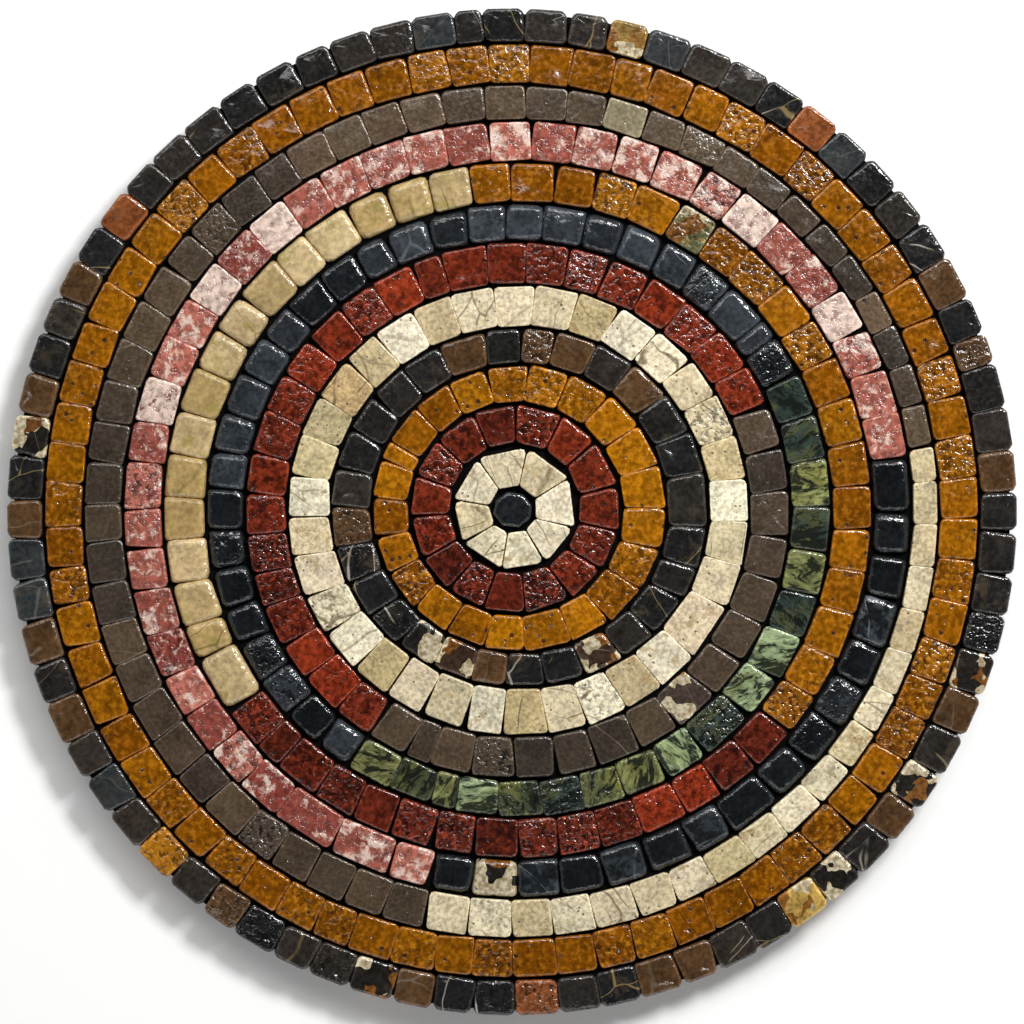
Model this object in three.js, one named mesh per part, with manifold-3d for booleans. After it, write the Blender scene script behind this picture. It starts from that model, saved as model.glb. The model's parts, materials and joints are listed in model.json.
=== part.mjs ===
// A round mosaic panel, lying face up, in millimetres. Twelve rings of tumbled marble cubes are laid by
// hand about a centre stone, on a thin black setting bed. +Z is up, and the origin is the middle of the
// bed's underside, the face that is bonded to a wall, a floor or a table top.
// Angles are in degrees, anticlockwise from +X, as seen from above.
import * as THREE from "three";
import { ConvexGeometry } from "three/addons/geometries/ConvexGeometry.js";
import { mergeVertices } from "three/addons/utils/BufferGeometryUtils.js";
import Module from "manifold-3d";

const BED_DEPTH = 2.5;
const BED_INSET = 1.2; // the bed stops this far inside the rim
const BED_SIDES = 96;
const STONE_HEIGHT = 8; // a cube of about 10 mm across, tumbled and sawn to this height
const EDGE = 1.2; // the chamfer that a tumbled edge comes to
const JOINT = 0.4; // left open between two rings, and between stones of two nodes
const HEIGHT_SPREAD = 0.25; // the stones' tops differ by this much either way
const UNEVENNESS = 0.05; // and the joints are set wrong by this share of a stone
const WIDEST = 1.16; // the inner corners are set so that a stone this many times the usual width clears
const LEAN = 0.35; // each end of a joint between two stones strays this far along the ring
const ROUGHNESS = 0.12; // the corners stand back from the ring's edge by up to this much

const CENTRE = { radius: 5.2, drift: [0.2, 0.6], oval: 0, width: 9.4, height: 8.6, cut: 2.6, turn: -8 };

// The rings, from the centre out. depth is how far a ring's outer edge lies outside the one before. That
// edge isn't a true circle: its centre strays by drift, and it is wider along X than along Y by oval.
// A run is so many stones of one marble between two angles, and odd gives the relative widths of stones
// that were cut long or short. cut is how far the outer corners are nipped, and apart says that the
// stones don't touch, so that each is a solid of its own.
const RINGS = [
  {
    depth: 10.6, drift: [0.7, 0.9], oval: 0, cut: 0, apart: true,
    runs: [{ marble: "ivory", stones: 8, from: 29, to: 389, odd: { 6: 0.86 } }],
  },
  {
    depth: 10.7, drift: [0.9, 0.7], oval: 0.1, cut: 0, apart: true,
    runs: [{ marble: "red", stones: 15, from: 15, to: 375 }],
  },
  {
    depth: 10, drift: [1.8, 0.9], oval: 0.5, cut: 0,
    runs: [{ marble: "ochre", stones: 22, from: 1.5, to: 361.5, odd: { 9: 0.5, 14: 1.15, 17: 1.25 } }],
  },
  {
    depth: 9.7, drift: [1.9, 1.1], oval: 1.2, cut: 0,
    runs: [
      { marble: "dark", stones: 28, from: 12.2, to: 372.2, odd: { 5: 0.78, 7: 1.18, 25: 0.8, 27: 1.3 } },
    ],
  },
  {
    depth: 11, drift: [1.5, 0.4], oval: 0.7, cut: 0,
    runs: [{ marble: "ivory", stones: 33, from: 8.5, to: 368.5, odd: { 29: 1.32 } }],
  },
  {
    depth: 10.6, drift: [1.3, 0.3], oval: 0.5, cut: 0,
    runs: [
      { marble: "red", stones: 24, from: 23, to: 237.4, odd: { 9: 0.78, 19: 0.74 } },
      { marble: "taupe", stones: 16, from: 237.4, to: 383, odd: { 1: 0.54 } },
    ],
  },
  {
    depth: 9.8, drift: [1.6, 0.4], oval: 0.75, cut: 0,
    runs: [
      { marble: "navy", stones: 28, from: 26, to: 237.2, odd: { 1: 0.5 } },
      { marble: "green", stones: 18, from: 237.2, to: 386, odd: { 2: 0.6, 9: 1.28 } },
    ],
  },
  {
    depth: 10.4, drift: [1.3, 0.4], oval: 0.8, cut: 0,
    runs: [
      { marble: "sand", stones: 16, from: 97.2, to: 215.4, odd: { 14: 0.82, 15: 1.36 } },
      { marble: "red", stones: 15, from: 215.4, to: 321.5, odd: { 1: 0.65 } },
      { marble: "ochre", stones: 19, from: 321.5, to: 457.2 },
    ],
  },
  {
    depth: 10, drift: [1.3, 0.6], oval: 0.7, cut: 0,
    runs: [
      { marble: "pink", stones: 37, from: 8, to: 257.4, odd: { 34: 1.45, 35: 1.42 } },
      { marble: "navy", stones: 16, from: 257.4, to: 368, odd: { 7: 1.22, 15: 1.15 } },
    ],
  },
  {
    depth: 8.9, drift: [-0.3, 0.1], oval: 0.1, cut: 0,
    runs: [
      { marble: "taupe", stones: 44, from: 9, to: 257.8 },
      { marble: "ivory", stones: 19, from: 257.8, to: 369, odd: { 18: 0.85 } },
    ],
  },
  {
    depth: 10.1, drift: [-0.2, 0.2], oval: 0, cut: 0,
    runs: [{ marble: "ochre", stones: 69, from: 4.2, to: 364.2 }],
  },
  {
    depth: 9.5, drift: [0, 0], oval: 0.2, cut: 1.2,
    runs: [{ marble: "dark", stones: 75, from: 2.4, to: 362.4, odd: { 3: 0.76, 19: 0.75, 31: 0.84 } }],
  },
];

const FINISHES = {
  bed: { color: 0x0c0c0d, roughness: 0.85, metalness: 0 },
  ivory: { color: 0xd9ceb4, roughness: 0.3, metalness: 0 },
  sand: { color: 0xc2ab78, roughness: 0.28, metalness: 0 },
  ochre: { color: 0xa3660f, roughness: 0.25, metalness: 0 },
  red: { color: 0x6d2418, roughness: 0.25, metalness: 0 },
  pink: { color: 0xc27470, roughness: 0.28, metalness: 0 },
  taupe: { color: 0x544a40, roughness: 0.3, metalness: 0 },
  navy: { color: 0x1b2127, roughness: 0.2, metalness: 0 },
  green: { color: 0x5d6b45, roughness: 0.25, metalness: 0 },
  dark: { color: 0x2a2622, roughness: 0.22, metalness: 0 },
};

const SHOULDER = BED_DEPTH + STONE_HEIGHT - EDGE; // where the upright sides end and the edges begin

const wasm = await Module();
wasm.setup();

// The same number from -1 to 1 each time for the same keys.
function stray(...keys) {
  const waves = keys.map((key, place) => 43758.5453 * Math.sin(key * 12.9898 + place * 4.1414));
  const mixed = waves.reduce((sum, wave) => sum + wave, 0);
  return 2 * (mixed - Math.floor(mixed)) - 1;
}

function polar(angle, radius) {
  return new THREE.Vector2(radius * Math.cos(angle), radius * Math.sin(angle));
}

// How far an edge with that mean radius, drift and oval lies from the origin in one direction.
function edgeRadius({ radius, drift, oval }, angle) {
  return radius + drift[0] * Math.cos(angle) + drift[1] * Math.sin(angle) + oval * Math.cos(2 * angle);
}

// The outline moved inwards by a distance: each corner goes to where its two moved sides cross.
function shrunk(outline, distance) {
  return outline.map((corner, i) => {
    const before = outline.at(i - 1).clone().sub(corner).normalize();
    const after = outline[(i + 1) % outline.length].clone().sub(corner).normalize();
    const reach = distance / Math.abs(before.cross(after));
    return corner.clone().addScaledVector(before, reach).addScaledVector(after, reach);
  });
}

// A stone on the bed: upright sides over its outline, then a chamfered edge up to a flat top.
function stoneGeometry(outline, top) {
  const at = (height) => (point) => new THREE.Vector3(point.x, point.y, height);
  return new ConvexGeometry([
    ...outline.map(at(BED_DEPTH)),
    ...outline.map(at(SHOULDER)),
    ...shrunk(outline, EDGE).map(at(top)),
  ]);
}

function solidOf(geometry) {
  const bare = geometry.clone();
  bare.deleteAttribute("normal");
  const merged = mergeVertices(bare);
  return new wasm.Manifold(
    new wasm.Mesh({
      numProp: 3,
      vertProperties: merged.getAttribute("position").array,
      triVerts: new Uint32Array(merged.index.array),
    }),
  );
}

// Stones that touch, made one solid: neighbours share the side where they meet.
function fused(geometries) {
  const mesh = geometries.map(solidOf).reduce((all, next) => all.add(next)).getMesh();
  const geometry = new THREE.BufferGeometry();
  geometry.setAttribute("position", new THREE.BufferAttribute(mesh.vertProperties, 3));
  geometry.setIndex(new THREE.BufferAttribute(mesh.triVerts, 1));
  geometry.computeVertexNormals();
  return geometry;
}

// The joints of a run: where each stone ends and the next begins, at the ring's inner and outer edges.
// The inner corners stand out far enough for the straight side between them to clear the ring inside.
function jointsOf(run, inner, outer, seed) {
  const whole = run.to - run.from === 360;
  const widths = Array.from({ length: run.stones }, (_, i) => run.odd?.[i] ?? 1);
  const total = widths.reduce((sum, width) => sum + width);
  const step = THREE.MathUtils.degToRad(run.to - run.from) / total;
  const clear = Math.cos((WIDEST / 2) * step);
  let turned = 0;
  return [0, ...widths].map((width, i) => {
    turned += width;
    const open = !whole && (i === 0 || i === run.stones);
    const key = whole ? i % run.stones : i;
    const uneven = open ? 0 : UNEVENNESS * stray(seed, key, 1);
    const angle = THREE.MathUtils.degToRad(run.from) + step * (turned + uneven);
    const standBack = (place) => JOINT / 2 + ROUGHNESS * Math.abs(stray(seed, key, place));
    return {
      angle,
      open,
      innerStray: LEAN * stray(seed, key, 2),
      outerStray: LEAN * stray(seed, key, 3),
      innerRadius: (edgeRadius(inner, angle) + standBack(4)) / clear,
      outerRadius: edgeRadius(outer, angle) - standBack(5),
    };
  });
}

// The inner and outer corner that a joint gives to the stone after it (side 1) or before it (side -1).
function cornersAt(joint, side, open) {
  const gap = open ? (side * JOINT) / 2 : 0;
  return [
    polar(joint.angle + (joint.innerStray + gap) / joint.innerRadius, joint.innerRadius),
    polar(joint.angle + (joint.outerStray + gap) / joint.outerRadius, joint.outerRadius),
  ];
}

// The outline of the stone between two joints, anticlockwise, with its outer corners nipped.
function stoneOutline(first, second, ring) {
  const [innerA, outerA] = cornersAt(first, 1, ring.apart || first.open);
  const [innerB, outerB] = cornersAt(second, -1, ring.apart || second.open);
  if (!ring.cut) return [innerA, outerA, outerB, innerB];
  const toward = (from, to) => from.clone().add(to.clone().sub(from).setLength(ring.cut));
  return [
    innerA,
    toward(outerA, innerA),
    toward(outerA, outerB),
    toward(outerB, outerA),
    toward(outerB, innerB),
    innerB,
  ];
}

function mesh(name, geometry, finish) {
  const made = new THREE.Mesh(geometry, new THREE.MeshStandardMaterial(FINISHES[finish]));
  made.name = name;
  return made;
}

function bed(rim) {
  const radius = rim.radius - BED_INSET;
  const disc = new THREE.CylinderGeometry(radius, radius, BED_DEPTH, BED_SIDES);
  disc.rotateX(Math.PI / 2);
  disc.translate(0, 0, BED_DEPTH / 2);
  return mesh("setting_bed", disc, "bed");
}

// The stone in the middle: a small block with its four corners nipped.
function centreStone() {
  const { width, height, cut, turn, drift } = CENTRE;
  const [x, y] = [width / 2, height / 2];
  const corners = [
    [x, cut - y], [x, y - cut], [x - cut, y], [cut - x, y],
    [-x, y - cut], [-x, cut - y], [cut - x, -y], [x - cut, -y],
  ];
  const middle = new THREE.Vector2(...drift);
  const outline = corners.map(([a, b]) =>
    new THREE.Vector2(a, b).rotateAround(new THREE.Vector2(), THREE.MathUtils.degToRad(turn)).add(middle),
  );
  return mesh("centre_stone", stoneGeometry(outline, SHOULDER + EDGE), "dark");
}

function ringMeshes(ring, inner, outer, number) {
  const prefix = `ring_${String(number).padStart(2, "0")}`;
  return ring.runs.flatMap((run, place) => {
    const seed = number + 20 * place;
    const joints = jointsOf(run, inner, outer, seed);
    const stones = joints.slice(1).map((joint, i) => {
      const top = SHOULDER + EDGE + HEIGHT_SPREAD * stray(seed, i, 6);
      return stoneGeometry(stoneOutline(joints[i], joint, ring), top);
    });
    if (!ring.apart) return [mesh(`${prefix}_${run.marble}`, fused(stones), run.marble)];
    return stones.map((stone, i) => mesh(`${prefix}_${run.marble}_stone_${i + 1}`, stone, run.marble));
  });
}

const panel = new THREE.Group();
let inner = CENTRE;
RINGS.forEach((ring, i) => {
  const outer = { ...ring, radius: inner.radius + ring.depth };
  panel.add(...ringMeshes(ring, inner, outer, i + 1));
  inner = outer;
});
panel.add(centreStone(), bed(inner));

export default panel;
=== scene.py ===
"""The looks of a round mosaic panel of tumbled marble stones in black mortar, built round its solids.

Everything is in metres, in the frame of the solids: +Z out of the stones' faces and +Y to the top of the
pattern. Angles are in degrees, anticlockwise from +X. Every stone is made again over its own block of
the frame, rounded and worn, and cut from its own piece of marble.
"""
import json
import math

import bpy
import mathutils
import numpy as np
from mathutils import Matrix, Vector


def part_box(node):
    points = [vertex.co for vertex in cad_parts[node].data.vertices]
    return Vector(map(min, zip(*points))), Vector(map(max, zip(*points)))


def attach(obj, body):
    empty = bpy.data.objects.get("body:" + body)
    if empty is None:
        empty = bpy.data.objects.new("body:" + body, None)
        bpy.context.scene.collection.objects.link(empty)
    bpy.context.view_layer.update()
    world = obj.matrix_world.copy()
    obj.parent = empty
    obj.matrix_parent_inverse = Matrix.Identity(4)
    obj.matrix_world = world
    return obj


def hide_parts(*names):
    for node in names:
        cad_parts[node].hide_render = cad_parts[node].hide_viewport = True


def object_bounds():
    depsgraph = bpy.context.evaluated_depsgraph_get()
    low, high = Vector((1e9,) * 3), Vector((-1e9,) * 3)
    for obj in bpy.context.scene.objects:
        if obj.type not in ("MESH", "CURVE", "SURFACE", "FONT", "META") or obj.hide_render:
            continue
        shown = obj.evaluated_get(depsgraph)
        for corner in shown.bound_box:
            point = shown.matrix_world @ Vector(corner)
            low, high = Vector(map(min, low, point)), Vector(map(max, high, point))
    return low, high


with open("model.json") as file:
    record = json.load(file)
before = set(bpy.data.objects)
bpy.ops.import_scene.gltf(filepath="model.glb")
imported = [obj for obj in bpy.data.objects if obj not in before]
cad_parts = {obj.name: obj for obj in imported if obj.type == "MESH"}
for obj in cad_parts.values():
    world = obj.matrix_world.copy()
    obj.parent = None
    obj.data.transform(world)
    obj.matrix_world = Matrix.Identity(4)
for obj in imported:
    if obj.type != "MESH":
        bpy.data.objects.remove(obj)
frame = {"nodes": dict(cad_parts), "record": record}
CAD_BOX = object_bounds()

MM = 0.001
GRAIN_UNIT = 0.01  # patterns in the stone are measured in these, about one stone's width
BED = "setting_bed"
BED_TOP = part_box(BED)[1][2]
HIGHEST = CAD_BOX[1][2]
CHAMFER = 1.2 * MM  # the flat tops of the frame's blocks stand back from their sides by this much
SWELL = 0.14 * MM  # every stone is this much bigger all round than its block, before it is worn
WEAR = 0.035  # a stone's corners are worn in towards its middle by up to this share
WEDGE = 0.16  # and its outer side is narrowed by up to this share
INNER_WEDGE = 0.05  # or this, on the centre stone and the two rings round it
SLOPE = 0.014  # the usual tilt of a stone's top
WAVES = (0.015 * MM, 0.075 * MM)  # the range of a top's roughness, of which it swells and sinks by shares
UNEVEN = 0.01 * MM  # the usual unevenness of the points of a top and its rolled edge

# The rings of a stone from its foot to just inside its top: how far each stands in from the waist's outline
# and how far it is below the top, both in rolls, None being on the bed, whether it tilts with the top, and
# how much of an edge it is.
LEVELS = ((0.4, None, 0, 0.3), (0, 1, 0, 0.6), (0.29, 0.29, 1, 1), (0.9, 0.03, 1, 0.35), (1.35, 0, 1, 0))


# ---------------------------------------------------------------- marbles, as a maker would sort them

# deep and pale are the ends of the range that a marble's stones are cut from. roll is the radius that
# tumbling leaves on an edge, in millimetres. lumpy and veined are the shares of such stones.
MARBLES = {
    "ivory": {"deep": "#ad9a6f", "pale": "#e0d6ba", "roll": 0.45, "lumpy": 0.15, "veined": 0.6},
    "sand": {"deep": "#9d8454", "pale": "#b7a076", "roll": 1.35, "lumpy": 0.0, "veined": 0.35},
    "ochre": {"deep": "#6e3d00", "pale": "#9e6304", "roll": 0.65, "lumpy": 0.4, "veined": 0.2},
    "red": {"deep": "#44180e", "pale": "#7b2b13", "roll": 0.65, "lumpy": 0.55, "veined": 0.3},
    "pink": {"deep": "#7a372d", "pale": "#a96353", "roll": 0.6, "lumpy": 0.2, "veined": 0.5},
    "taupe": {"deep": "#312a23", "pale": "#544433", "roll": 0.6, "lumpy": 0.05, "veined": 0.25},
    "navy": {"deep": "#0e1113", "pale": "#30353a", "roll": 1.45, "lumpy": 0.15, "veined": 0.35},
    "green": {"deep": "#303728", "pale": "#787a4b", "roll": 0.7, "lumpy": 0.3, "veined": 0.9},
    "dark": {"deep": "#151616", "pale": "#302a25", "roll": 0.8, "lumpy": 0.2, "veined": 0.35},
}

# Sorts of stone that turn up here and there among the others: its colour, and the shares of lumps, veins,
# patches of pale and golden stone, and speckles, where these aren't left to chance.
SORTS = {
    "smooth black": {"body": "#15191b", "lumps": 0.0, "veins": 0.0},
    "brown": {"body": "#4a341f", "veins": 0.2},
    "rust": {"body": "#74401f", "veins": 0.0},
    "slate": {"body": "#2b2e2f", "lumps": 0.0, "veins": 0.15},
    "tan": {"body": "#80642f", "veins": 0.2, "patches": 0.15},
    "honey": {"body": "#95600f", "lumps": 0.9, "veins": 0.0},
    "black with veins": {"body": "#191919", "veins": 1.0},
    "breccia": {"body": "#1d1a17", "veins": 0.3, "patches": 0.7},
    "brown breccia": {"body": "#33231a", "veins": 0.4, "patches": 0.35},
    "gold": {"body": "#a38443", "veins": 0.0, "patches": 0.7},
    "half green": {"body": "#5d5d40", "veins": 0.3, "patches": 0.5},
    "one pale patch": {"body": "#3c312a", "lumps": 0.0, "veins": 0.3, "patches": 0.25},
    "dark green": {"body": "#29332e", "veins": 1.0, "speckles": 0.0},
    "pale green": {"body": "#7c8a66", "veins": 0.5, "speckles": 0.1},
    "white": {"body": "#c9b2a4", "lumps": 0.0, "veins": 0.4},
    "brick": {"body": "#7c2a12", "lumps": 0.5, "veins": 0.1, "speckles": 0.1},
    "pale taupe": {"body": "#7f755c", "lumps": 0.0},
    "stained": {"body": "#b89c6e", "veins": 1.0, "speckles": 1.0},
}

# Which stones of a run are of another sort, by the angle where each lies.
ACCENTS = {
    "centre_stone": {"smooth black": (0,)},
    "ring_04_dark": {
        "brown": (44, 70, 82, 107, 181, 260),
        "breccia": (234,),
        "brown breccia": (248, 300),
        "black with veins": (18, 194, 207, 220, 274, 287, 324, 349),
    },
    "ring_05_ivory": {"stained": (142,)},
    "ring_06_red": {"brick": (41, 228)},
    "ring_06_taupe": {"one pale patch": (314,)},
    "ring_07_green": {"dark green": (22, 15, 0, 342, 310, 280), "pale green": (334, 327, 303, 263)},
    "ring_08_ochre": {"half green": (59,)},
    "ring_08_red": {"brick": (293, 301)},
    "ring_09_navy": {"breccia": (267,)},
    "ring_09_pink": {"white": (28, 53, 131, 141, 165)},
    "ring_10_taupe": {"pale taupe": (74,)},
    "ring_12_dark": {
        "rust": (52, 144, 271),
        "tan": (77,),
        "honey": (222,),
        "brown": (5, 18, 28, 154, 168, 182, 197, 207, 236, 257, 286, 290, 320, 335),
        "slate": (47, 72, 100, 187, 192, 217),
        "breccia": (172, 251, 310, 325, 340),
        "gold": (305,),
        "black with veins": (23, 33, 57, 92, 149, 177, 261, 266, 281),
    },
}

# The part of its marble's range that a run's stones come from, where it isn't the whole of it.
TONES = {
    "ring_01": (0.3, 0.95),
    "ring_02": (0.0, 0.75),
    "ring_04": (0.0, 0.85),
    "ring_06_taupe": (0.0, 0.7),
    "ring_08_ochre": (0.0, 0.55),
    "ring_08_red": (0.0, 0.3),
    "ring_09_navy": (0.0, 0.25),
    "ring_10_ivory": (0.1, 0.7),
    "ring_11": (0.0, 0.5),
}


def linear(code):
    """The linear colour of a screen colour: each channel c is c / 12.92, or ((c + 0.055) / 1.055) ** 2.4."""
    channels = np.array([int(code[i : i + 2], 16) for i in (1, 3, 5)]) / 255
    return np.where(channels < 0.04045, channels / 12.92, ((channels + 0.055) / 1.055) ** 2.4)


# ---------------------------------------------------------------- stones


def tops_of(node):
    """The corners of each stone's flat top in a node, anticlockwise, as stones x corners x 3.

    The triangles that face straight up and share corners are one top. Its corners are put in order of
    their angle round its middle, and the stones in order of their angle round the panel.
    """
    data = frame["nodes"][node].data
    points = np.empty(len(data.vertices) * 3, np.float32)
    data.vertices.foreach_get("co", points)
    used = np.empty(len(data.loops), np.int32)
    data.loops.foreach_get("vertex_index", used)
    triangles = points.reshape(-1, 3)[used].reshape(-1, 3, 3).astype(float)
    normals = np.cross(triangles[:, 1] - triangles[:, 0], triangles[:, 2] - triangles[:, 0])
    faces_up = normals[:, 2] > 0.999 * np.linalg.norm(normals, axis=1)
    flat = triangles[faces_up]
    steps = np.round(flat.reshape(-1, 3) / (0.01 * MM)).astype(int)
    corners, corner = np.unique(steps, axis=0, return_inverse=True)
    corner = corner.reshape(-1, 3)
    top = corner.min(axis=1)
    for _ in range(8):
        least = np.full(len(corners), len(corners))
        np.minimum.at(least, corner, top[:, None])
        top = least[corner].min(axis=1)
    pairs = np.unique(np.stack([np.repeat(top, 3), corner.ravel()], axis=1), axis=0)
    _, stone = np.unique(pairs[:, 0], return_inverse=True)
    stone = stone.ravel()
    spots = corners[pairs[:, 1]] * 0.01 * MM
    middles = np.stack([np.bincount(stone, spots[:, i]) for i in range(3)], axis=1)
    middles /= np.bincount(stone)[:, None]
    out = spots - middles[stone]
    order = np.lexsort((np.arctan2(out[:, 1], out[:, 0]), stone))
    outlines = spots[order].reshape(len(middles), -1, 3)
    turn = np.arctan2(middles[:, 1], middles[:, 0]) % (2 * math.pi)
    return outlines[np.argsort(turn)]


def unit(vectors):
    return vectors / np.linalg.norm(vectors, axis=-1, keepdims=True)


def moved_out(outlines, distance):
    """Outlines with each side moved straight out by a distance: a corner goes back along both its sides
    by the distance over the sine of the angle between them."""
    before = unit(np.roll(outlines, 1, axis=1) - outlines)
    after = unit(np.roll(outlines, -1, axis=1) - outlines)
    sine = np.abs(before[..., 0] * after[..., 1] - before[..., 1] * after[..., 0])[..., None]
    return outlines - distance * (before + after) / sine


def rounded(outlines, radius):
    """Outlines with each corner made three points of an arc of a radius: where it leaves either side, the
    radius over the tangent of half the corner's angle back, and the point between them, in from the corner
    by the radius times 1 / sine - 1. An arc takes 0.45 of a side at most."""
    before = np.roll(outlines, 1, axis=1) - outlines
    after = np.roll(outlines, -1, axis=1) - outlines
    shorter = np.minimum(np.linalg.norm(before, axis=-1), np.linalg.norm(after, axis=-1))
    before, after = unit(before), unit(after)
    half = np.arccos((before * after).sum(axis=-1)) / 2
    back = np.minimum(radius / np.tan(half), 0.45 * shorter)
    inwards = (back * np.tan(half) * (1 / np.sin(half) - 1))[..., None] * unit(before + after)
    back = back[..., None]
    arcs = np.stack([outlines + back * before, outlines + inwards, outlines + back * after], axis=2)
    return arcs.reshape(len(outlines), -1, 2)


def turned(vectors, rng):
    """Each stone's vectors turned at random: a unit quaternion w, x, y, z for each stone gives its matrix."""
    w, x, y, z = unit(rng.normal(size=(len(vectors), 4))).T
    matrix = np.array(
        [
            [1 - 2 * (y * y + z * z), 2 * (x * y - z * w), 2 * (x * z + y * w)],
            [2 * (x * y + z * w), 1 - 2 * (x * x + z * z), 2 * (y * z - x * w)],
            [2 * (x * z - y * w), 2 * (y * z + x * w), 1 - 2 * (x * x + y * y)],
        ]
    )
    return np.einsum("ijn,nvj->nvi", matrix, vectors)


def worn_corners(blocks, wedge, rng):
    """The corners of each worn stone, from its block's: the block's sides and the swell, turned a little,
    the outer corners brought together by a share of their distance, the share seldom large, and every
    corner moved in a little towards the middle, none farther out than the block reaches."""
    corners = moved_out(blocks, CHAMFER + SWELL)
    middle = corners.mean(axis=1, keepdims=True)
    outwards = unit(middle)
    along = np.stack([-outwards[..., 1], outwards[..., 0]], axis=-1)
    offset = corners - middle
    out = (offset * outwards).sum(axis=-1, keepdims=True)
    side = (offset * along).sum(axis=-1, keepdims=True)
    count = len(corners)
    narrower = np.where(out > 0, 1 - wedge * rng.uniform(0, 1, (count, 1, 1)) ** 2, 1)
    side = side * narrower
    turn = rng.normal(0, 0.2 * wedge, (count, 1, 1))
    corners = middle + (out + turn * side) * outwards + (side - turn * out) * along
    worn = 1 - WEAR * rng.uniform(0, 1, (*corners.shape[:2], 1)) ** 2
    corners = middle + (corners - middle) * worn
    reach = np.linalg.norm(moved_out(blocks, CHAMFER), axis=-1).max(axis=1)[:, None, None]
    return corners * np.minimum(1, (reach - SWELL) / np.linalg.norm(corners, axis=-1, keepdims=True))


def tumbled_stones(node, roll, wedge, rng):
    """The mesh of a node's stones: points as stones x points x 3, faces, and each point's edge share.

    Rings of points climb each stone: foot, waist, the middle of the rolled edge at 45 degrees, its rim, a
    ring just inside it and one halfway to the middle, then one point in the middle. A ring stands in from
    the waist's outline by a share of the roll, and below the top by another. The top is tilted by a slope
    of its own and swells and sinks by a wave two or three times round the stone, more so on some stones.
    """
    tops = tops_of(node)
    count, sides = tops.shape[:2]
    corners = worn_corners(tops[..., :2], wedge, rng)
    middle = corners.mean(axis=1)
    height = tops[:, 0, 2]
    rolls = roll * MM * rng.uniform(0.8, 1.25, count)
    corner = (0.65 * MM + 0.5 * rolls[:, None]) * rng.uniform(0.6, 1.5, (count, sides))
    slope = rng.normal(0, SLOPE, (count, 1, 2))
    rough = rng.uniform(*WAVES, (count, 1))
    levels = []
    for inset, below, tilted, _ in LEVELS:
        drawn_in = rolls[:, None] * inset
        inside = moved_out(corners, -drawn_in[..., None])
        ring = rounded(inside, np.maximum(corner - 0.6 * drawn_in, 0.3 * corner))
        if below is None:
            lifted = np.full(ring.shape[:2], BED_TOP)
        else:
            lifted = height[:, None] - rolls[:, None] * below
        lifted = lifted + tilted * ((ring - middle[:, None]) * slope).sum(axis=-1)
        uneven = UNEVEN * tilted * rng.normal(size=ring.shape[:2])
        levels.append(np.concatenate([ring, (lifted + uneven)[..., None]], axis=-1))
    crown = np.concatenate([middle, height[:, None] + rough * rng.uniform(-0.8, 0.8, (count, 1))], axis=-1)
    crown = crown[:, None]
    halfway = (levels[-1] + crown) / 2
    turn = np.arange(3 * sides) * 2 * math.pi / (3 * sides)
    for waves in (2, 3):
        halfway[..., 2] += rough / waves * np.cos(waves * turn + rng.uniform(0, 2 * math.pi, (count, 1)))
    points = np.concatenate([*levels, halfway, crown], axis=1)
    points[..., 2] = np.minimum(points[..., 2], HIGHEST)
    around = 3 * sides
    shares = [level[3] for level in LEVELS] + [0]
    edge = np.concatenate([np.full(around, share) for share in shares] + [[0]])
    return points, stone_faces(count, around, len(levels) + 1), np.tile(edge, count)


def stone_faces(count, around, rings):
    """Faces of stones whose points are rings of so many points and one crown: a band of four-sided faces
    between two rings, three-sided ones round the crown, and one face below."""
    here = np.arange(around)
    after = np.roll(here, -1)
    size = around * rings + 1
    start = (np.arange(count) * size)[:, None]
    faces = (start + here[::-1]).tolist()
    for ring in range(rings - 1):
        low, high = ring * around, (ring + 1) * around
        band = np.stack([here + low, after + low, after + high, here + high], axis=-1)
        faces += (start[..., None] + band).reshape(-1, 4).tolist()
    rim = (rings - 1) * around
    cap = np.stack([here + rim, after + rim, np.full(around, size - 1)], axis=-1)
    return faces + (start[..., None] + cap).reshape(-1, 3).tolist()


def sorted_stones(node, marble, angles, rng):
    """Each stone's colour, and its shares of lumps, veins, patches and speckles, drawn from its marble's
    range, then from its sort."""
    spec = MARBLES[marble]
    low, high = next((span for start, span in TONES.items() if node.startswith(start)), (0.0, 1.0))
    count = len(angles)
    tone = rng.uniform(low, high, (count, 1))
    body = (1 - tone) * linear(spec["deep"]) + tone * linear(spec["pale"])
    body *= rng.normal(1, 0.04, (count, 1)) * rng.normal(1, 0.012, (count, 3))
    speckles = rng.uniform(0, 1, count) ** 1.5
    is_lumpy = rng.random(count) < spec["lumpy"]
    lumps = np.where(is_lumpy, rng.uniform(0.5, 1, count), rng.uniform(0, 0.2, count))
    veins = np.where(rng.random(count) < spec["veined"], rng.uniform(0.4, 1, count), 0)
    shares = {"lumps": lumps, "veins": veins, "patches": np.zeros(count), "speckles": speckles}
    for name, places in ACCENTS.get(node, {}).items():
        sort = dict(SORTS[name])
        apart = np.abs((angles[:, None] - np.array(places) + 180) % 360 - 180)
        chosen = np.unique(apart.argmin(axis=0))
        body[chosen] = linear(sort.pop("body")) * rng.normal(1, 0.04, (len(chosen), 1))
        for share, value in sort.items():
            shares[share][chosen] = value
    return body, shares


def add_attribute(data, name, kind, values):
    slot = {"FLOAT": "value", "FLOAT_VECTOR": "vector", "FLOAT_COLOR": "color"}[kind]
    layer = data.attributes.new(name, kind, "POINT")
    layer.data.foreach_set(slot, np.ascontiguousarray(values, np.float32).ravel())


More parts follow.
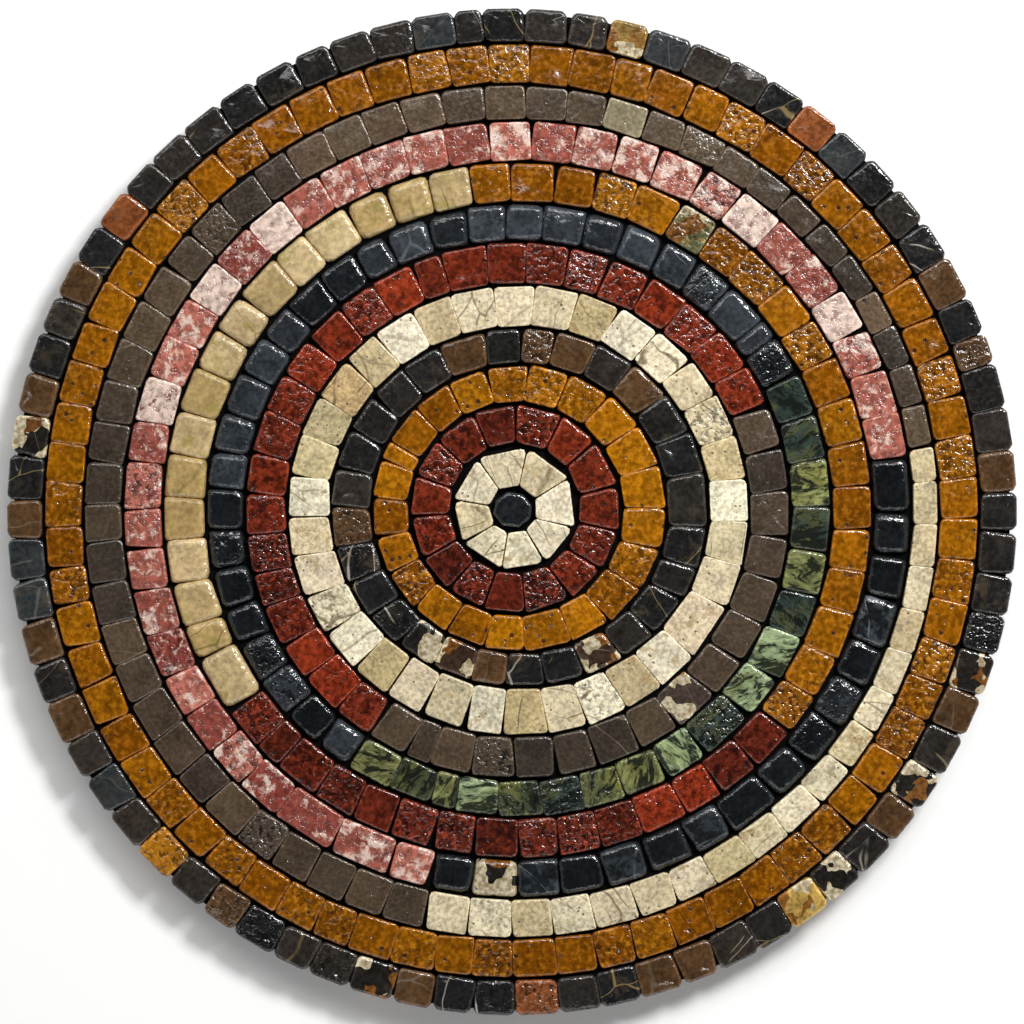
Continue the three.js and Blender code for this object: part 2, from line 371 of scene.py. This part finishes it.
def add_piece(name, points, faces, material, slot, *nodes):
    """A smooth mesh object that stands for nodes of the frame."""
    data = bpy.data.meshes.new(name)
    data.from_pydata(points.tolist(), [], faces)
    data.polygons.foreach_set("use_smooth", np.ones(len(data.polygons), bool))
    data.materials.append(material)
    piece = bpy.data.objects.new(name, data)
    bpy.context.scene.collection.objects.link(piece)
    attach(piece, "root")
    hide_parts(*nodes)
    return piece


def lay_stones(node, marble, material, seed):
    """One piece for a node's stones, each with a grain of its own: its points, turned at random about its
    middle and carried to a place of its own in the marble."""
    rng = np.random.default_rng(seed)
    wedge = INNER_WEDGE if node < "ring_03" else WEDGE
    points, faces, edge = tumbled_stones(node, MARBLES[marble]["roll"], wedge, rng)
    count, each = points.shape[:2]
    middle = points.mean(axis=1)
    angles = np.degrees(np.arctan2(middle[:, 1], middle[:, 0])) % 360
    grain = turned(points - middle[:, None], rng) / GRAIN_UNIT + rng.uniform(-40, 40, (count, 1, 3))
    body, shares = sorted_stones(node, marble, angles, rng)
    name = "tumbled_" + node.removeprefix("ring_")
    data = add_piece(name, points.reshape(-1, 3), faces, material, marble, node).data
    opaque = np.concatenate([body, np.ones((count, 1))], axis=1)
    add_attribute(data, "grain", "FLOAT_VECTOR", grain)
    add_attribute(data, "body", "FLOAT_COLOR", np.repeat(opaque, each, axis=0))
    for name, share in shares.items():
        add_attribute(data, name, "FLOAT", np.repeat(share, each))
    add_attribute(data, "edge", "FLOAT", edge)


# ---------------------------------------------------------------- shader graphs


class Wire:
    """An output in a material's graph. Sums, differences and products of wires and numbers add the nodes
    that work them out."""

    def __init__(self, recipe, socket):
        self.recipe = recipe
        self.socket = socket

    def maths(self, operation, first, second=0.0):
        values = {"Value": first, "Value_001": second}
        return self.recipe.node("Math", {"operation": operation}, values, "Value")

    def __add__(self, other):
        return self.maths("ADD", self, other)

    def __radd__(self, other):
        return self.maths("ADD", other, self)

    def __sub__(self, other):
        return self.maths("SUBTRACT", self, other)

    def __rsub__(self, other):
        return self.maths("SUBTRACT", other, self)

    def __mul__(self, other):
        return self.maths("MULTIPLY", self, other)

    def __rmul__(self, other):
        return self.maths("MULTIPLY", other, self)

    def __abs__(self):
        return self.maths("ABSOLUTE", self)


class Recipe:
    """A material's graph, and the patterns that the marbles are made of."""

    def __init__(self, name):
        self.material = bpy.data.materials.new(name)
        self.material.use_nodes = True
        self.tree = self.material.node_tree
        self.tree.nodes.clear()

    def node(self, kind, settings, sockets, output):
        """A node of a kind, its settings made first, then its sockets' values or links."""
        made = self.tree.nodes.new("ShaderNode" + kind)
        for name, value in settings.items():
            setattr(made, name, value)
        for name, value in sockets.items():
            socket = next(s for s in made.inputs if s.identifier == name)
            if isinstance(value, Wire):
                self.tree.links.new(value.socket, socket)
            else:
                socket.default_value = value
        return Wire(self, next(s for s in made.outputs if s.identifier == output))

    def read(self, name, output="Fac"):
        return self.node("Attribute", {"attribute_name": name}, {}, output)

    def noise(self, at, scale, detail=1.0, roughness=0.55, distortion=0.0):
        values = {"Vector": at, "Scale": scale, "Detail": detail, "Roughness": roughness}
        return self.node("TexNoise", {}, {**values, "Distortion": distortion}, "Fac")

    def cells(self, at, scale, feature="F1"):
        return self.node("TexVoronoi", {"feature": feature}, {"Vector": at, "Scale": scale}, "Distance")

    def dots(self, at, scale, rim, heart):
        """Round dots, one to a cell: 0 from rim outwards and 1 from heart inwards."""
        return self.ramp(self.cells(at, scale), rim, heart)

    def clouds(self, at, scale, detail):
        """A noise spread over the whole range from 0 to 1."""
        return self.ramp(self.noise(at, scale, detail), 0.32, 0.68)

    def ramp(self, value, low, high):
        """0 below low and 1 above high, with a smooth step between; low may be the higher."""
        return self.node(
            "MapRange",
            {"interpolation_type": "SMOOTHSTEP"},
            {"Value": value, "From Min": low, "From Max": high},
            "Result",
        )

    def veins(self, at, scale, width, distortion=0.15):
        """1 along the lines where a noise crosses its middle value, and 0 from a width either side."""
        return self.ramp(abs(self.noise(at, scale, 2.0, 0.5, distortion) - 0.5), width, 0.0)

    def bent(self, at, scale, reach):
        """Places each carried off a little by a noise, so that what is drawn there has uneven outlines."""
        waver = self.node("TexNoise", {}, {"Vector": at, "Scale": scale, "Detail": 1.0}, "Color")
        values = {"Vector": waver, "Vector_001": (reach, reach, reach), "Vector_002": at}
        return self.node("VectorMath", {"operation": "MULTIPLY_ADD"}, values, "Vector")

    def straight_veins(self, at, scale, width):
        """Thin veins: the walls between long cells, all of one width, which fade here and there."""
        long = self.stretched(self.bent(at, 1.5, 0.2), (1.0, 0.14, 0.3))
        apart = self.cells(long, scale, "DISTANCE_TO_EDGE")
        whole = self.ramp(self.noise(at, 1.6), 0.36, 0.52)
        return self.ramp(apart, width, 0.3 * width) * whole

    def mix(self, factor, first, second):
        return self.node(
            "Mix",
            {"data_type": "RGBA"},
            {"Factor_Float": factor, "A_Color": first, "B_Color": second},
            "Result_Color",
        )

    def scaled(self, colour, value):
        return self.node("VectorMath", {"operation": "SCALE"}, {"Vector": colour, "Scale": value}, "Vector")

    def stretched(self, at, scales):
        values = {"Vector": at, "Vector_001": scales}
        return self.node("VectorMath", {"operation": "MULTIPLY"}, values, "Vector")

    def close(self, colour, height, roughness, ior=1.65):
        """The finished surface. height is in millimetres."""
        normal = self.node("Bump", {}, {"Height": height, "Distance": MM, "Strength": 1.0}, "Normal")
        values = {"Base Color": colour, "Roughness": roughness, "Normal": normal, "IOR": ior}
        shader = self.node("BsdfPrincipled", {}, values, "BSDF")
        end = self.tree.nodes.new("ShaderNodeOutputMaterial")
        self.tree.links.new(shader.socket, end.inputs["Surface"])
        return self.material


def tint(code):
    return (*linear(code), 1.0)


# ---------------------------------------------------------------- the marbles


def broken_pieces(recipe, grain, colour, fine):
    """Colour with broken pieces of golden and pale stone set in it, as many as the share of patches says.
    fine is the marble's own mottle, and the pieces' colours follow it."""
    reach = recipe.read("patches")
    bent = recipe.bent(grain, 3.0, 0.4)
    kind = recipe.node("TexVoronoi", {"feature": "F1"}, {"Vector": bent, "Scale": 2.5}, "Color") + 0.3 * reach
    broken = recipe.ramp(kind, 0.66, 0.67) * recipe.ramp(reach, 0.0, 0.05)
    golden = recipe.scaled(linear("#6f4519"), 0.6 + 0.7 * fine)
    pale = recipe.mix(fine, tint("#8a7a5c"), tint("#c6bb9f"))
    pieces = recipe.mix(recipe.ramp(kind, 0.76, 0.77), golden, pale)
    return recipe.mix(0.92 * broken, colour, pieces)


def finished(recipe, grain, colour, rim, roughness, pits=0.0):
    """A marble's last steps: lumps with painted shade darkening their hollows, a painted sheen that lightens
    the rolled edges by the share rim, and a skin with broad waves, the lumps, which are stronger on the
    edges, and the marble's own pits."""
    depth = recipe.read("lumps")
    lumps = recipe.clouds(grain, 7.0, 2.0)
    # painted shade: the low parts of the lumps are darkened as if shaded, more so on lumpier stones
    colour = recipe.scaled(colour, 1.0 - 0.75 * depth * recipe.ramp(lumps, 0.4, 0.05))
    edge = recipe.read("edge")
    # painted sheen: the rolled edges are lightened by the share rim, standing in for the reflections they
    # catch
    colour = recipe.scaled(colour, 1.0 + rim * edge)
    height = 0.24 * recipe.noise(grain, 1.9) + (0.02 + 0.15 * depth + 0.12 * edge) * lumps - 0.25 * pits
    return recipe.close(colour, height, roughness)


def ivory_marble():
    recipe = Recipe("ivory marble")
    grain, body = recipe.read("grain", "Vector"), recipe.read("body", "Color")
    cloud, fine = recipe.clouds(grain, 1.7, 3.0), recipe.clouds(grain, 10.0, 2.0)
    colour = recipe.scaled(body, 0.58 + 0.32 * cloud + 0.5 * fine)
    stain = recipe.ramp(recipe.noise(grain, 3.4, 4.0, 0.68), 0.5, 0.66)
    colour = recipe.mix((0.2 + 0.6 * recipe.read("speckles")) * stain, colour, tint("#8f7547"))
    veins = recipe.straight_veins(grain, 1.5, 0.022) * recipe.read("veins")
    colour = recipe.mix(0.85 * veins, colour, tint("#5d4b2e"))
    specks = recipe.dots(grain, 6.0, 0.22, 0.12) * recipe.ramp(recipe.noise(grain, 2.9), 0.5, 0.6)
    colour = recipe.mix(0.85 * specks, colour, tint("#4c4233"))
    return finished(recipe, grain, colour, 0.3, 0.24 + 0.15 * fine, 0.6 * specks)


def sand_marble():
    recipe = Recipe("sand marble")
    grain, body = recipe.read("grain", "Vector"), recipe.read("body", "Color")
    cloud, fine = recipe.clouds(grain, 1.5, 3.0), recipe.clouds(grain, 8.0, 2.0)
    colour = recipe.scaled(body, 0.68 + 0.28 * cloud + 0.36 * fine)
    stain = recipe.ramp(recipe.noise(grain, 2.2, 4.0, 0.6), 0.54, 0.68)
    colour = recipe.mix(0.7 * stain, colour, tint("#8f8142"))
    lines = recipe.straight_veins(grain, 1.2, 0.02) * recipe.read("veins")
    colour = recipe.mix(0.8 * lines, colour, tint("#625526"))
    specks = recipe.dots(grain, 4.0, 0.13, 0.06) * recipe.ramp(recipe.noise(grain, 2.2), 0.52, 0.6)
    colour = recipe.mix(0.7 * specks, colour, tint("#5b4a28"))
    return finished(recipe, grain, colour, 0.25, 0.14 + 0.1 * fine)


def ochre_marble():
    recipe = Recipe("ochre marble")
    grain, body = recipe.read("grain", "Vector"), recipe.read("body", "Color")
    cloud, mottle = recipe.clouds(grain, 2.0, 3.0), recipe.clouds(grain, 8.0, 2.0)
    colour = recipe.scaled(body, 0.54 + 0.38 * cloud + 0.54 * mottle)
    flecks = recipe.ramp(recipe.noise(grain, 8.0, 2.0), 0.54, 0.66)
    # the paler golden flecks, stronger on lumpy stones, are partly the stone's own flecks and partly a
    # painted glint
    colour = recipe.mix((0.1 + 0.4 * recipe.read("lumps")) * flecks, colour, tint("#c08722"))
    freckles = recipe.ramp(recipe.noise(grain, 6.0, 3.0, 0.65), 0.44, 0.36)
    colour = recipe.mix((0.08 + 0.6 * recipe.read("speckles")) * freckles, colour, tint("#3a1d03"))
    pits = recipe.dots(grain, 3.4, 0.23, 0.15) * recipe.ramp(recipe.noise(grain, 2.3), 0.5, 0.57)
    cracks = recipe.straight_veins(grain, 0.9, 0.016) * recipe.read("veins")
    colour = recipe.mix(0.85 * pits, colour, tint("#2b1504"))
    colour = recipe.mix(0.75 * cracks, colour, tint("#4a2706"))
    colour = broken_pieces(recipe, grain, colour, mottle)
    return finished(recipe, grain, colour, 0.5, 0.1 + 0.1 * mottle, pits)


def red_marble():
    recipe = Recipe("red marble")
    grain, body = recipe.read("grain", "Vector"), recipe.read("body", "Color")
    cloud, mottle = recipe.clouds(grain, 2.0, 3.0), recipe.clouds(grain, 8.0, 2.0)
    colour = recipe.scaled(body, 0.4 + 0.42 * cloud + 0.7 * mottle)
    flecks = recipe.ramp(recipe.noise(grain, 9.0, 2.0), 0.53, 0.66) * (0.3 + 0.7 * recipe.read("lumps"))
    colour = recipe.mix(0.6 * flecks, colour, tint("#a53d24"))
    shade = recipe.ramp(recipe.noise(grain, 4.4, 3.0), 0.52, 0.62)
    colour = recipe.mix((0.3 + 0.55 * recipe.read("speckles")) * shade, colour, tint("#1c0806"))
    pits = recipe.dots(grain, 4.4, 0.22, 0.12) * recipe.ramp(recipe.noise(grain, 2.7), 0.5, 0.58)
    colour = recipe.mix(0.8 * pits, colour, tint("#140505"))
    return finished(recipe, grain, colour, 0.55, 0.1 + 0.1 * mottle, pits)


def pink_marble():
    recipe = Recipe("pink marble")
    grain, body = recipe.read("grain", "Vector"), recipe.read("body", "Color")
    mottle = recipe.clouds(grain, 6.0, 3.0)
    colour = recipe.scaled(body, 0.62 + 0.66 * mottle)
    spots = recipe.ramp(recipe.noise(grain, 4.2, 3.0, 0.68), 0.5, 0.62)
    colour = recipe.mix((0.4 + 0.5 * recipe.read("speckles")) * spots, colour, tint("#6a302a"))
    whiter = recipe.noise(grain, 2.7, 4.0, 0.7, 0.3) + 0.08 * recipe.read("veins")
    cloud = recipe.ramp(whiter, 0.53, 0.68)
    colour = recipe.mix(0.85 * cloud, colour, tint("#dcc3b4"))
    veins = recipe.veins(grain, 1.5, 0.014, 0.5) * recipe.read("veins")
    colour = recipe.mix(0.6 * veins, colour, tint("#4a3234"))
    return finished(recipe, grain, colour, 0.4, 0.12 + 0.1 * mottle, 0.4 * spots)


def taupe_marble():
    recipe = Recipe("taupe marble")
    grain, body = recipe.read("grain", "Vector"), recipe.read("body", "Color")
    cloud, fine = recipe.clouds(grain, 1.6, 3.0), recipe.clouds(grain, 11.0, 2.0)
    colour = recipe.scaled(body, 0.62 + 0.34 * cloud + 0.44 * fine)
    lines = recipe.straight_veins(grain, 0.8, 0.012) * recipe.read("veins")
    colour = recipe.mix(0.5 * lines, colour, tint("#8d8168"))
    pits = recipe.dots(grain, 3.6, 0.2, 0.12) * recipe.ramp(recipe.noise(grain, 2.3), 0.53, 0.6)
    pits = pits * recipe.read("speckles")
    colour = recipe.mix(0.8 * pits, colour, tint("#17120e"))
    colour = broken_pieces(recipe, grain, colour, fine)
    return finished(recipe, grain, colour, 0.6, 0.18 + 0.1 * fine, pits)


def navy_marble():
    recipe = Recipe("navy marble")
    grain, body = recipe.read("grain", "Vector"), recipe.read("body", "Color")
    cloud, fine = recipe.clouds(grain, 2.2, 3.0), recipe.clouds(grain, 9.0, 2.0)
    colour = recipe.scaled(body, 0.5 + 0.5 * cloud + 0.5 * fine)
    haze = recipe.ramp(recipe.noise(grain, 2.6, 4.0, 0.68, 0.4), 0.5, 0.62) * recipe.read("veins")
    colour = recipe.mix(0.5 * haze, colour, tint("#4c5459"))
    lines = recipe.straight_veins(grain, 0.9, 0.012) * recipe.read("veins")
    colour = recipe.mix(0.4 * lines, colour, tint("#8b9196"))
    colour = broken_pieces(recipe, grain, colour, fine)
    return finished(recipe, grain, colour, 0.3, 0.09 + 0.08 * fine)


def green_marble():
    recipe = Recipe("green marble")
    grain, body = recipe.read("grain", "Vector"), recipe.read("body", "Color")
    layered = recipe.stretched(grain, (1.0, 2.6, 1.0))
    layers = recipe.noise(layered, 1.3, 5.0, 0.64, 0.8)
    colour = recipe.scaled(body, 0.55 + 0.75 * recipe.clouds(layered, 4.0, 3.0))
    yellow = recipe.ramp(recipe.noise(layered, 0.8, 3.0), 0.48, 0.58)
    colour = recipe.mix((0.2 + 0.6 * recipe.read("speckles")) * yellow, colour, tint("#7b7a3b"))
    pale = recipe.ramp(layers, 0.54, 0.62)
    colour = recipe.mix(0.6 * pale, colour, recipe.scaled(body, 1.9))
    dark = recipe.ramp(layers, 0.5, 0.45)
    colour = recipe.mix(0.92 * dark, colour, tint("#121613"))
    lines = recipe.veins(layered, 1.8, 0.03, 0.6) * recipe.read("veins")
    colour = recipe.mix(0.85 * lines, colour, tint("#0f130e"))
    return finished(recipe, grain, colour, 0.4, 0.15)


def dark_marble():
    recipe = Recipe("dark marble")
    grain, body = recipe.read("grain", "Vector"), recipe.read("body", "Color")
    cloud, fine = recipe.clouds(grain, 1.9, 3.0), recipe.clouds(grain, 9.0, 2.0)
    colour = recipe.scaled(body, 0.5 + 0.48 * cloud + 0.52 * fine)
    haze = recipe.ramp(recipe.noise(grain, 1.6, 5.0, 0.68, 0.4), 0.52, 0.66) * recipe.read("speckles")
    colour = recipe.mix(0.5 * haze, colour, tint("#55493a"))
    veins = recipe.straight_veins(grain, 0.9, 0.012) * recipe.read("veins")
    whiter = recipe.ramp(recipe.noise(grain, 0.6), 0.42, 0.58)
    vein_colour = recipe.mix(whiter, tint("#83704a"), tint("#b0aca4"))
    colour = recipe.mix(0.75 * veins, colour, vein_colour)
    colour = broken_pieces(recipe, grain, colour, fine)
    return finished(recipe, grain, colour, 0.7, 0.11 + 0.1 * fine)


def mortar():
    recipe = Recipe("black mortar")
    place = recipe.node("TexCoord", {}, {}, "Object")
    sand, patch = recipe.noise(place, 1400.0, 3.0), recipe.noise(place, 90.0, 3.0)
    colour = recipe.scaled(recipe.mix(patch, tint("#060606"), tint("#0e0d0d")), 0.6 + 0.8 * sand)
    holes = recipe.ramp(recipe.cells(place, 160.0), 0.2, 0.1) * recipe.ramp(patch, 0.5, 0.6)
    return recipe.close(colour, 0.25 * sand + 0.3 * patch - 0.3 * holes, 0.7 + 0.2 * sand, ior=1.1)


# ---------------------------------------------------------------- mortar

MORTAR_TOP = HIGHEST - 2.6 * MM  # between the stones, so far below their tops
RIM_STEP = 3 * MM  # the mortar stands back from the bed's rim by this much
MORTAR_STEPS = 288
MORTAR_SEED = 7
MORTAR_WAVES = 10
MORTAR_SWELL = 0.06 * MM  # how far each of them rises and falls


def mortar_bed():
    """The bed and the mortar in the joints as one body: a profile carried round the axis.

    The profile runs from the axis out along the underside, up a rounded corner and the rim, over another
    corner and back in along the top, which rises and falls by a sum of sines of x and y.
    """
    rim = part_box(BED)[1][0]
    corner = 0.6 * MM
    bend = np.linspace(0, math.pi / 2, 4)
    under = np.stack([np.linspace(0.02, 1, 12) * (rim - corner), np.zeros(12)], axis=1)
    lower = np.stack([rim - corner + corner * np.sin(bend), corner - corner * np.cos(bend)], axis=1)
    shoulder = rim - RIM_STEP
    step = [(rim, BED_TOP - 0.3 * MM), (rim - 0.3 * MM, BED_TOP), (shoulder, BED_TOP)]
    across, up = corner - corner * np.cos(bend), corner - corner * np.sin(bend)
    upper = np.stack([shoulder - across, MORTAR_TOP - up], axis=1)
    inwards = np.linspace(1, 0.004, 84) * (shoulder - corner)
    top = np.stack([inwards, np.full(84, MORTAR_TOP)], axis=1)
    side = np.stack([np.full(4, shoulder), np.linspace(BED_TOP, MORTAR_TOP - corner, 6)[1:-1]], axis=1)
    profile = np.concatenate([under, lower[1:], step, side, upper, top[1:]])
    turn = np.arange(MORTAR_STEPS) * 2 * math.pi / MORTAR_STEPS
    x, y = (profile[:, :1] * function(turn) for function in (np.cos, np.sin))
    z = np.repeat(profile[:, 1:], MORTAR_STEPS, axis=1)
    rng = np.random.default_rng(MORTAR_SEED)
    swell = np.zeros_like(x)
    for _ in range(MORTAR_WAVES):
        direction, phase = rng.uniform(0, 2 * math.pi, 2)
        length = rng.uniform(5, 25) * MM
        swell += np.sin((x * math.cos(direction) + y * math.sin(direction)) * 2 * math.pi / length + phase)
    share = np.clip((z - BED_TOP) / (MORTAR_TOP - BED_TOP), 0, 1)
    z = z + MORTAR_SWELL * swell * share
    points = np.stack([x, y, z], axis=-1).reshape(-1, 3)
    low, high = [0, 0, profile[0, 1]], [0, 0, float(z[-1].mean())]
    return points, low, high, len(profile)


def mortar_faces(rows, around):
    """Four-sided faces between the rows of a closed lathe, and three-sided ones to a point at each end."""
    here = np.arange(around)
    after = np.roll(here, -1)
    start = (np.arange(rows - 1) * around)[:, None]
    band = np.stack([here + start, after + start, after + start + around, here + start + around], axis=-1)
    first, last = rows * around, rows * around + 1
    under = np.stack([after, here, np.full(around, first)], axis=-1)
    rim = (rows - 1) * around
    over = np.stack([here + rim, after + rim, np.full(around, last)], axis=-1)
    return band.reshape(-1, 4).tolist() + under.tolist() + over.tolist()


def lay_mortar(material):
    points, low, high, rows = mortar_bed()
    points = np.concatenate([points, [low, high]])
    add_piece("mortar_bed", points, mortar_faces(rows, MORTAR_STEPS), material, "bed", BED)


# ---------------------------------------------------------------- studio


FLOOR_GAP = 0.02 * MM
WALLS = 0.38  # the brightness of the studio's walls
CEILING = 0.03
SOFT_BOX = 5.5  # watts
LAMP = 8.5
FILL = 2.6


def add_light(name, size, watts, place):
    """A square-cornered lamp that faces the middle of the panel."""
    lamp = bpy.data.lights.new(name, "AREA")
    lamp.shape = "RECTANGLE"
    lamp.size, lamp.size_y = size
    lamp.energy = watts
    made = bpy.data.objects.new(name, lamp)
    made.location = place
    made.rotation_euler = (-mathutils.Vector(place)).to_track_quat("-Z", "Y").to_euler()
    bpy.context.scene.collection.objects.link(made)


def add_floor():
    material = Recipe("pale floor").close(tint("#f7f7f6"), 0.0, 0.9)
    data = bpy.data.meshes.new("floor")
    far = 6.0
    level = CAD_BOX[0][2] - FLOOR_GAP
    corners = [(-far, -far, level), (far, -far, level), (far, far, level), (-far, far, level)]
    data.from_pydata(corners, [], [(0, 1, 2, 3)])
    data.materials.append(material)
    floor = bpy.data.objects.new("floor", data)
    bpy.context.scene.collection.objects.link(floor)


def add_camera():
    """Straight above the panel, at the distance where its width fills most of the picture."""
    lens, sensor, fills = 150.0, 36.0, 0.9885
    width = CAD_BOX[1][0] - CAD_BOX[0][0]
    data = bpy.data.cameras.new("camera")
    data.lens, data.sensor_width = lens, sensor
    camera = bpy.data.objects.new("camera", data)
    middle = (CAD_BOX[0] + CAD_BOX[1]) / 2
    camera.location = (middle[0], middle[1], HIGHEST + width / fills * lens / sensor)
    bpy.context.scene.collection.objects.link(camera)
    bpy.context.scene.camera = camera


def add_studio():
    """Pale walls all round and a dark ceiling, which the flat tops mirror, with a lamp and a long
    soft box beyond the top of the pattern, which their edges mirror, and a weaker box beyond the bottom."""
    world = bpy.data.worlds.new("studio")
    world.use_nodes = True
    nodes, links = world.node_tree.nodes, world.node_tree.links
    place = nodes.new("ShaderNodeTexCoord")
    parts = nodes.new("ShaderNodeSeparateXYZ")
    ceiling = nodes.new("ShaderNodeMapRange")
    ceiling.interpolation_type = "SMOOTHSTEP"
    for name, value in {"From Min": 0.5, "From Max": 0.8, "To Min": WALLS, "To Max": CEILING}.items():
        ceiling.inputs[name].default_value = value
    links.new(place.outputs["Generated"], parts.inputs[0])
    links.new(parts.outputs["Z"], ceiling.inputs["Value"])
    links.new(ceiling.outputs["Result"], nodes["Background"].inputs["Strength"])
    nodes["Background"].inputs["Color"].default_value = (1, 1, 1, 1)
    bpy.context.scene.world = world
    add_light("soft_box", (1.3, 0.4), SOFT_BOX, (0, 0.6, 0.85))
    add_light("lamp", (0.26, 0.18), LAMP, (0.43, 0.5, 0.75))
    add_light("fill", (1.2, 0.5), FILL, (0, -0.8, 0.7))
    bpy.context.scene.view_settings.view_transform = "Standard"


# ---------------------------------------------------------------- the panel

MAKERS = {
    "ivory": ivory_marble,
    "sand": sand_marble,
    "ochre": ochre_marble,
    "red": red_marble,
    "pink": pink_marble,
    "taupe": taupe_marble,
    "navy": navy_marble,
    "green": green_marble,
    "dark": dark_marble,
}

marbles = {name: make() for name, make in MAKERS.items()}
laid = sorted((part["node"], part["material_slot"]) for part in frame["record"]["subparts"])
for seed, (node, marble) in enumerate(laid):
    if node != BED:
        lay_stones(node, marble, marbles[marble], seed)
lay_mortar(mortar())
add_floor()
add_camera()
add_studio()
